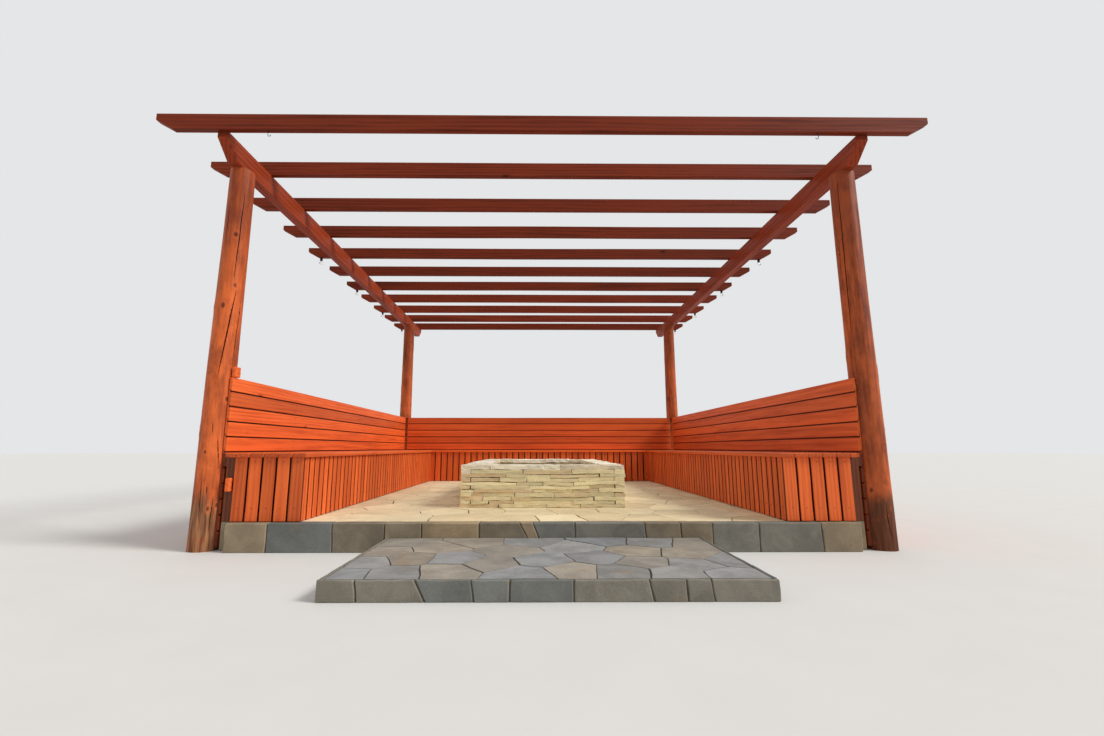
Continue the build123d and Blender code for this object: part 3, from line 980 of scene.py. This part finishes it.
class PERGOLA_OT_paving(bpy.types.Operator):
    """Lay the raised floor and the entrance step in crazy paving, with upright stones round their edges"""

    bl_idname = "pergola.paving"
    bl_label = "Paving"

    # How far the mortar stays back from the outline and below the top
    bed_inset = 0.007
    bed_drop = 0.006

    def slabs(self, name, node, material, low, high, sites, top, seed):
        rocks = bpy.context.scene.pergola_stone
        form = add_layers(bmesh.new())
        crazy_paving(form, low, high, sites, top, rocks.slab_depth, rocks.joint, random.Random(seed))
        add_piece(name, form, material, node)

    def edging(self, name, rows, seed, warm_share, warmth):
        """Rows of upright stones as (low corner, high corner, joints, axis)."""
        form = add_layers(bmesh.new())
        for row in rows:
            upright_stones(form, *row, bpy.context.scene.pergola_stone.joint)
        ease_edges(form, 0.006)
        cut_along(form, "XYZ", 0.055)
        tint_islands(form, random.Random(seed), warm_share, warmth)
        low = [min(row[0][i] for row in rows) for i in range(3)]
        high = [max(row[1][i] for row in rows) for i in range(3)]
        roughen(form, 0.07, 0.0035, low, high)
        add_piece(name, form, "shaded_riser_stone")

    def bed(self, name, rectangles, top):
        """The mortar under the slabs, as (low x, low y, high x, high y) of each block."""
        form = add_layers(bmesh.new())
        inset = self.bed_inset
        for x0, y0, x1, y1 in rectangles:
            block(form, (x0 + inset, y0 + inset, 0.0), (x1 - inset, y1 - inset, top - self.bed_drop))
        ease_edges(form, 0.004)
        add_piece(name, form, "mortar")

    def execute(self, context):
        rocks = context.scene.pergola_stone
        rim = rocks.riser_depth
        margin = rim + rocks.joint
        dice = random.Random(5)

        low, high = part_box("stone_floor")
        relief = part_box("bench_ends")[1]
        inner_low = (low.x + margin, relief.y + margin)
        inner_high = (high.x - margin, high.y - margin)
        sites = jittered_sites(dice, inner_low, inner_high, 0.36)
        self.slabs("floor_flagstones", "stone_floor", "floor_stone", inner_low, inner_high, sites, high.z, 6)
        side_joints = random_joints(dice, relief.y + rim, high.y - rim, 0.3, 0.6)
        rows = [
            ((-relief.x, low.y, 0), (relief.x, relief.y + rim, high.z), FLOOR_JOINTS, 0),
            ((low.x, relief.y, 0), (-relief.x - rocks.joint, relief.y + rim, high.z), (), 0),
            ((relief.x + rocks.joint, relief.y, 0), (high.x, relief.y + rim, high.z), (), 0),
            ((low.x, high.y - rim, 0), high[:], random_joints(dice, low.x, high.x, 0.3, 0.6), 0),
            ((low.x, relief.y + margin, 0), (low.x + rim, high.y - margin, high.z), side_joints, 1),
            ((high.x - rim, relief.y + margin, 0), (high.x, high.y - margin, high.z), side_joints, 1),
        ]
        self.edging("floor_edging", rows, 7, 0.8, 1.0)
        beds = [(-relief.x, low.y, relief.x, relief.y + 0.02), (low.x, relief.y, high.x, high.y)]
        self.bed("floor_bed", beds, high.z)

        low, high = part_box("entrance_step")
        inner_low = (low.x + margin, low.y + margin)
        inner_high = (high.x - margin, high.y - rocks.joint)
        self.slabs(
            "step_flagstones", "entrance_step", "shaded_step_stone", inner_low, inner_high, STEP_SITES, high.z, 9
        )
        side_joints = random_joints(dice, low.y + rim, high.y, 0.22, 0.42)
        rows = [
            (low[:], (high.x, low.y + rim, high.z), STEP_JOINTS, 0),
            ((low.x, low.y + margin, 0), (low.x + rim, high.y - 0.001, high.z), side_joints, 1),
            ((high.x - rim, low.y + margin, 0), (high.x, high.y - 0.001, high.z), side_joints, 1),
        ]
        self.edging("step_edging", rows, 10, 0.4, 0.4)
        self.bed("step_bed", [(low.x, low.y, high.x, high.y)], high.z)
        return {"FINISHED"}


def free_runs(start, end, taken):
    """The stretches of a course that the tall slabs of the course below leave free."""
    runs = []
    for low, high in [*sorted(taken), (end, end)]:
        if low - start > 0.03:
            runs.append((start, low))
        start = max(start, high)
    return runs


class PERGOLA_OT_fire_pit(bpy.types.Operator):
    """Lay the fire pit in dry courses of thin split slabs round its hollow"""

    bl_idname = "pergola.fire_pit"
    bl_label = "Fire pit"

    courses = 11
    leaf_depth = 0.095
    core_inset = 0.022
    shortest_slab = 0.09

    def gap(self, dice, tight, wide):
        """The width of a dry joint: most are tight, some gape."""
        return dice.uniform(0.4 * wide, wide) if dice.random() < 0.16 else dice.uniform(0.0004, tight)

    def course(self, form, dice, low, high, axis, levels, taken, tall, ragged):
        """Slabs end to end along a leaf of a wall; gives back the stretches where one rises a course more."""
        foot, top, next_top = levels
        outward = 1 - axis
        risers = []
        for place, end in free_runs(low[axis], high[axis], taken):
            while place < end - 0.001:
                length = dice.uniform(0.1, 0.3) if dice.random() < 0.55 else dice.uniform(0.3, 0.55)
                if end - place - length < self.shortest_slab:
                    length = end - place
                far = place + length
                rises = tall and length < 0.2 and dice.random() < 0.22
                slab_low = [0.0, 0.0, foot + 0.0004]
                slab_high = [0.0, 0.0, (next_top if rises else top) - self.gap(dice, 0.0018, 0.006)]
                first = self.gap(dice, 0.003, 0.01) if place > low[axis] else dice.uniform(0, ragged)
                slab_low[axis] = place + first
                slab_high[axis] = far - (0.0012 if far < high[axis] - 0.001 else dice.uniform(0, ragged))
                slab_low[outward] = low[outward] + dice.uniform(0, 0.011)
                slab_high[outward] = high[outward] - dice.uniform(0, 0.011)
                lean = dice.uniform(-0.005, 0.005)
                block(form, slab_low, slab_high, 0.0, 0.0 if far > high[axis] - 0.01 else lean, axis)
                if rises:
                    risers.append((place, far))
                place = far
        return risers

    def lay(self, low, high, wall, levels, dice):
        """All courses, each of two leaves but for the coping, as one mesh for each wall."""
        forms = {word: add_layers(bmesh.new()) for word in ("front", "rear", "left", "right")}
        taken = {}
        for row in range(self.courses):
            coping = row == self.courses - 1
            leaves = [(0.0, wall)] if coping else [(0.0, self.leaf_depth), (wall - self.leaf_depth, wall)]
            for leaf, (near, far) in enumerate(leaves):
                x0, x1, y0, y1 = low.x + near, high.x - near, low.y + near, high.y - near
                depth = far - near
                long_sides = row % 2 == 1
                side_start, side_end = (y0, y1) if long_sides else (y0 + depth, y1 - depth)
                end_start, end_end = (x0 + depth, x1 - depth) if long_sides else (x0, x1)
                places = {
                    "front": ((end_start, y0), (end_end, y0 + depth), 0),
                    "rear": ((end_start, y1 - depth), (end_end, y1), 0),
                    "left": ((x0, side_start), (x0 + depth, side_end), 1),
                    "right": ((x1 - depth, side_start), (x1, side_end), 1),
                }
                for word, (start, end, axis) in places.items():
                    taken[word, leaf] = self.course(
                        forms[word], dice, start, end, axis, levels[row:row + 3],
                        () if coping else taken.get((word, leaf), ()), row < self.courses - 2,
                        0.009 if long_sides == (axis == 1) else 0.001,
                    )
        return forms

    def weather(self, form, low, high, wall, levels, dice):
        """Break the coping, darken the slabs round the hollow with soot and painted shade, and let the courses
        wander.
        """
        pale = form.verts.layers.float["check"]
        tone = form.verts.layers.float["tone"]
        for group in islands(form):
            middle = middle_of(group)
            inward = min(middle.x - low.x, high.x - middle.x, middle.y - low.y, high.y - middle.y)
            if middle.z > levels[-3]:
                share = dice.uniform(0.4, 1.0)
                sag = dice.uniform(0, 0.006)
                for corner in group:
                    corner[pale] = share
                    chip = noise.noise_vector(corner.co / 0.05) * 0.009
                    chip += noise.noise_vector(corner.co / 0.018) * 0.003
                    if corner.co.z < middle.z:
                        chip.z = abs(chip.z)
                    corner.co += chip - UP * sag
            # The inner leaf is browner and darker: soot and painted shade
            elif inward > wall / 2:
                set_shares(form, group, hue=1.0, tone=group[0][tone] - 3.0)
            elif middle.z > levels[-4] and dice.random() < 0.35:
                set_shares(form, group, check=0.6)
        for corner in form.verts:
            share = (corner.co.z - low.z) / (high.z - low.z)
            wave = noise.noise(Vector((corner.co.x / 0.28, corner.co.y / 0.28, corner.co.z / 0.22)))
            corner.co.z += 0.011 * wave * math.sin(math.pi * min(max(share, 0), 1))

    def execute(self, context):
        low, high = pit_box()
        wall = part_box("fire_pit_front")[1].y - low.y
        dice = random.Random(31)
        heights = [dice.uniform(0.85, 1.2) for _ in range(self.courses - 1)] + [1.35]
        levels = [low.z]
        for height in heights:
            levels.append(levels[-1] + height / sum(heights) * (high.z - low.z))
        levels.append(levels[-1])
        for word, form in self.lay(low, high, wall, levels, dice).items():
            ease_edges(form, 0.0025)
            cut_along(form, "XY", 0.045)
            tint_islands(form, dice, 0.25)
            self.weather(form, low, high, wall, levels, dice)
            roughen(form, 0.03, 0.0034, low, high)
            node = "fire_pit_" + word
            add_piece(node + ".slabs", form, "split_stone", node)

        core = add_layers(bmesh.new())
        foot, top = low.z, levels[-3]
        near, far = self.core_inset, wall - self.core_inset
        x0, x1, y0, y1 = low.x, high.x, low.y, high.y
        block(core, (x0 + near, y0 + near, foot), (x1 - near, y0 + far, top))
        block(core, (x0 + near, y1 - far, foot), (x1 - near, y1 - near, top))
        block(core, (x0 + near, y0 + far, foot), (x0 + far, y1 - far, top))
        block(core, (x1 - far, y0 + far, foot), (x1 - near, y1 - far, top))
        ease_edges(core, 0.002, 1)
        add_piece("fire_pit_core", core, "pit_core")
        return {"FINISHED"}


class PERGOLA_OT_screws(bpy.types.Operator):
    """Set the screw heads of the backrests, seats and bench fronts"""

    bl_idname = "pergola.screws"
    bl_label = "Screws"

    # How far the heads stand proud, and the heights of the two in a backrest board
    proud = 0.0002
    pair = (0.022, 0.073)
    # From the front end of a side seat to its first screws
    end_distance = 0.05

    def heads(self, node, points, facing):
        """Countersunk screw heads, each a low dished disc that stands a hair proud of the timber."""
        radius = bpy.context.scene.pergola_timber.screw_radius
        turn = UP.rotation_difference(facing).to_matrix().to_4x4()
        form = bmesh.new()
        for point in points:
            bmesh.ops.create_cone(
                form, cap_ends=True, segments=10, radius1=radius, radius2=radius * 0.85, depth=0.0016,
                matrix=Matrix.Translation(point) @ turn,
            )
        caps = [face for face in form.faces if face.normal.dot(facing) > 0.99]
        bmesh.ops.inset_individual(form, faces=caps, thickness=radius * 0.4)
        dished = list({corner for face in caps for corner in face.verts})
        bmesh.ops.translate(form, verts=dished, vec=facing * -0.0007)
        add_piece(node + ".screws", form, "screw_steel")

    def wall(self, node, facing, spots):
        """Heads on the face of a wall, each at (place along it, height)."""
        axis = 0 if facing.x else 1
        face = max(corner.dot(facing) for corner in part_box(node)) + self.proud
        points = [Vector((place, place, height)) for place, height in spots]
        for point in points:
            point[axis] = face * facing[axis]
        self.heads(node, points, facing)

    def execute(self, context):
        seat_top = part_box("seat_left")[1].z
        levels = sorted({round((low.z + high.z) / 2, 4) for low, high in solid_boxes("rails_left")})
        for side in ("left", "right", "rear"):
            facing = FACING[side]
            run = 1 if facing.x else 0
            stakes = middles("stakes_" + side, run)
            rows = [low.z for low, _ in solid_boxes("backrest_" + side) if low.z > seat_top]
            spots = [(place, row + rise) for row in rows for place in stakes for rise in self.pair]
            self.wall("backrest_" + side, facing, spots)
            spots = [(place, level) for place in middles("cladding_" + side, run) for level in levels]
            self.wall("cladding_" + side, facing, spots)
            boards = middles("seat_" + side, 1 - run)
            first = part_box("bench_ends")[0].y + self.end_distance
            if side == "rear":
                spots = [(x, y) for x in stakes for y in boards]
            else:
                spots = [(x, y) for x in boards for y in (first, *stakes)]
            self.heads("seat_" + side, [(x, y, seat_top + self.proud) for x, y in spots], UP)
        spots = [(place, level) for place in middles("bench_ends", 0) for level in levels]
        self.wall("bench_ends", FACING["rear"], spots)
        return {"FINISHED"}


class PERGOLA_OT_stubs(bpy.types.Operator):
    """Round the two short timber ends beside the front left post"""

    bl_idname = "pergola.stubs"
    bl_label = "Stubs"

    def execute(self, context):
        form = add_layers(bmesh.new())
        margin = Vector((0.0025, 0.002, 0.002))
        for low, high in solid_boxes("post_stubs"):
            block(form, low + margin, high - margin)
        ease_edges(form, 0.009, 3)
        cut_along(form, "XYZ", 0.02)
        tint_islands(form, random.Random(17))
        roughen(form, 0.03, 0.002, *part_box("post_stubs"))
        add_piece("post_stubs.timber", form, "stub", "post_stubs", math.radians(60))
        return {"FINISHED"}


def turned(form, outline, x, y, base, steps):
    """Spin an outline of (radius, height above the base) pairs into a closed round shape."""
    corners = [form.verts.new((x + radius, y, base + height)) for radius, height in outline]
    edges = [form.edges.new(pair) for pair in zip(corners, corners[1:])]
    bmesh.ops.spin(
        form, geom=corners + edges, cent=(x, y, 0), axis=(0, 0, 1), angle=math.tau, steps=steps,
        use_merge=True,
    )
    bmesh.ops.remove_doubles(form, verts=form.verts, dist=0.00005)


class PERGOLA_OT_lamps(bpy.types.Operator):
    """Hang the small clear lamps under the rafter ends"""

    bl_idname = "pergola.lamps"
    bl_label = "End lamps"

    # Outlines as (radius, height): the socket from its top, the bulb from its foot
    SOCKET = (
        (0, 0), (0.015, 0), (0.015, -0.022), (0.0125, -0.024), (0.0125, -0.027), (0.0145, -0.029),
        (0.0145, -0.038), (0.0125, -0.04), (0, -0.04),
    )
    BULB = (
        (0.0, 0.0475), (0.0115, 0.0475), (0.0125, 0.043), (0.0165, 0.036), (0.0215, 0.028), (0.0232, 0.02),
        (0.0215, 0.011), (0.016, 0.0045), (0.0085, 0.001), (0.0, 0.0002),
    )

    def execute(self, context):
        sockets, bulbs = bmesh.new(), bmesh.new()
        for low, high in solid_boxes("end_lamps"):
            x, y = (low.x + high.x) / 2, (low.y + high.y) / 2
            turned(sockets, self.SOCKET, x, y, high.z, 20)
            turned(bulbs, self.BULB, x, y, low.z, 24)
        add_piece("lamp_sockets", sockets, "lamp_socket", smooth=SHARP)
        add_piece("lamp_bulbs", bulbs, "lamp_glass", "end_lamps", SHARP)
        return {"FINISHED"}


class PERGOLA_OT_hooks(bpy.types.Operator):
    """Bend the two hooks under the front rafter"""

    bl_idname = "pergola.hooks"
    bl_label = "Hooks"

    # Radius of the wire, and of the eye that it is bent to
    wire = 0.002
    eye = 0.01

    def bend(self, form, side, low, high):
        """A plate under the rafter and a wire that runs down and round; the side is 1 on the right."""
        x = (high.x if side > 0 else low.x) - side * self.wire
        y = (low.y + high.y) / 2
        top = high.z - 0.001
        turn = low.z + self.eye + self.wire
        plate = bmesh.ops.create_cone(
            form, cap_ends=True, segments=20, radius1=0.007, radius2=0.0085, depth=0.002,
            matrix=Matrix.Translation((x - side * 0.004, y, top)),
        )
        ease_edges(form, 0.0004, 1, {edge for corner in plate["verts"] for edge in corner.link_edges})
        ring = bmesh.ops.create_circle(
            form, segments=12, radius=self.wire, matrix=Matrix.Translation((x, y, top))
        )
        rim = list({edge for corner in ring["verts"] for edge in corner.link_edges})
        shank = bmesh.ops.extrude_edge_only(form, edges=rim)["geom"]
        lower = only(bmesh.types.BMVert, shank)
        bmesh.ops.translate(form, verts=lower, vec=(0, 0, turn - top))
        rim = [edge for edge in only(bmesh.types.BMEdge, shank) if set(edge.verts) <= set(lower)]
        end = bmesh.ops.spin(
            form, geom=lower + rim, cent=(x - side * self.eye, y, turn), axis=(0, side, 0),
            angle=math.pi * 0.98, steps=16,
        )["geom_last"]
        bmesh.ops.holes_fill(form, edges=only(bmesh.types.BMEdge, end), sides=20)

    def execute(self, context):
        form = add_layers(bmesh.new())
        for low, high in solid_boxes("plant_hooks"):
            self.bend(form, 1 if low.x > 0 else -1, low, high)
        bmesh.ops.remove_doubles(form, verts=form.verts, dist=0.00002)
        add_piece("plant_hooks.iron", form, "hook_iron", "plant_hooks", SHARP)
        return {"FINISHED"}


class PERGOLA_OT_stage(bpy.types.Operator):
    """Set the floor, the lights and the camera"""

    bl_idname = "pergola.stage"
    bl_label = "Stage"

    # The spread of the sun lamp, and the direction that it shines from
    sun_spread = math.radians(18)
    sun_place = Vector((0.76, -0.24, 0.64))

    def floor(self):
        form = bmesh.new()
        bmesh.ops.create_grid(form, x_segments=2, y_segments=2, size=60)
        mesh = bpy.data.meshes.new("stage_floor")
        form.to_mesh(mesh)
        form.free()
        pale = Shader("stage_floor")
        tint = pale.mix(pale.noise(3, shifted=False), (0.72, 0.72, 0.71), (0.76, 0.76, 0.75))
        mesh.materials.append(pale.finish(base_color=tint, roughness=0.9))
        floor = bpy.data.objects.new("stage_floor", mesh)
        bpy.context.scene.collection.objects.link(floor)

    def sky(self, fill):
        """Soft light on everything; the camera, mirrors and glass see an even grey instead."""
        sky = Shader("studio", "worlds", "OutputWorld")
        soft = sky.add("Background", {"Color": (1.0, 0.99, 0.97, 1), "Strength": fill})
        seen = sky.add("Background", {"Color": (0.78, 0.79, 0.8, 1), "Strength": 1.0})
        rays = [
            sky.add("LightPath", {}, ray) for ray in ("Is Camera Ray", "Is Glossy Ray", "Is Transmission Ray")
        ]
        either = sky.maths("MAXIMUM", rays[0], sky.maths("MAXIMUM", *rays[1:]))
        sky.tree.links.new(sky.add("MixShader", {0: either, 1: soft, 2: seen}), sky.surface)
        bpy.context.scene.world = sky.owner

    def execute(self, context):
        stage = context.scene.pergola_stage
        self.floor()
        self.sky(stage.fill)
        lamp = bpy.data.lights.new("key", "SUN")
        lamp.energy = stage.key
        lamp.angle = self.sun_spread
        lamp.color = (1.0, 0.97, 0.92)
        key = bpy.data.objects.new("key", lamp)
        key.rotation_euler = self.sun_place.to_track_quat("Z", "Y").to_euler()
        context.scene.collection.objects.link(key)

        lens = bpy.data.cameras.new("camera")
        lens.sensor_width = 36
        lens.lens = stage.lens
        lens.shift_x = stage.shift
        lens.clip_end = 200
        camera = bpy.data.objects.new("camera", lens)
        camera.location = stage.eye
        camera.rotation_euler = (math.radians(90) + stage.pitch, 0, -stage.yaw)
        context.scene.collection.objects.link(camera)
        context.scene.camera = camera
        context.scene.view_settings.view_transform = "Standard"
        return {"FINISHED"}


class PERGOLA_PT_panel(bpy.types.Panel):
    """Lists the pieces of the pergola"""

    bl_idname = "PERGOLA_PT_panel"
    bl_label = "Pergola"
    bl_space_type = "VIEW_3D"
    bl_region_type = "UI"
    bl_category = "Pergola"

    def draw(self, context):
        for group in GROUPS:
            settings = getattr(context.scene, group)
            for name in settings.__annotations__:
                self.layout.prop(settings, name)
        for operator in OPERATORS:
            self.layout.operator(operator.bl_idname)


GROUPS = {"pergola_timber": TimberFinish, "pergola_stone": StoneFinish, "pergola_stage": StageSettings}
OPERATORS = (
    PERGOLA_OT_finishes,
    PERGOLA_OT_log_posts,
    PERGOLA_OT_roof,
    PERGOLA_OT_backrests,
    PERGOLA_OT_seats,
    PERGOLA_OT_cladding,
    PERGOLA_OT_frames,
    PERGOLA_OT_paving,
    PERGOLA_OT_fire_pit,
    PERGOLA_OT_screws,
    PERGOLA_OT_stubs,
    PERGOLA_OT_lamps,
    PERGOLA_OT_hooks,
    PERGOLA_OT_stage,
)


def register():
    for made in (*GROUPS.values(), *OPERATORS, PERGOLA_PT_panel):
        bpy.utils.register_class(made)
    for name, group in GROUPS.items():
        setattr(bpy.types.Scene, name, bpy.props.PointerProperty(type=group))


def unregister():
    for name in GROUPS:
        delattr(bpy.types.Scene, name)
    for made in reversed((*GROUPS.values(), *OPERATORS, PERGOLA_PT_panel)):
        bpy.utils.unregister_class(made)


def main():
    register()
    for operator in OPERATORS:
        getattr(bpy.ops.pergola, operator.bl_idname.split(".")[1])()
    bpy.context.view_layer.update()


if __name__ == "__main__":
    main()
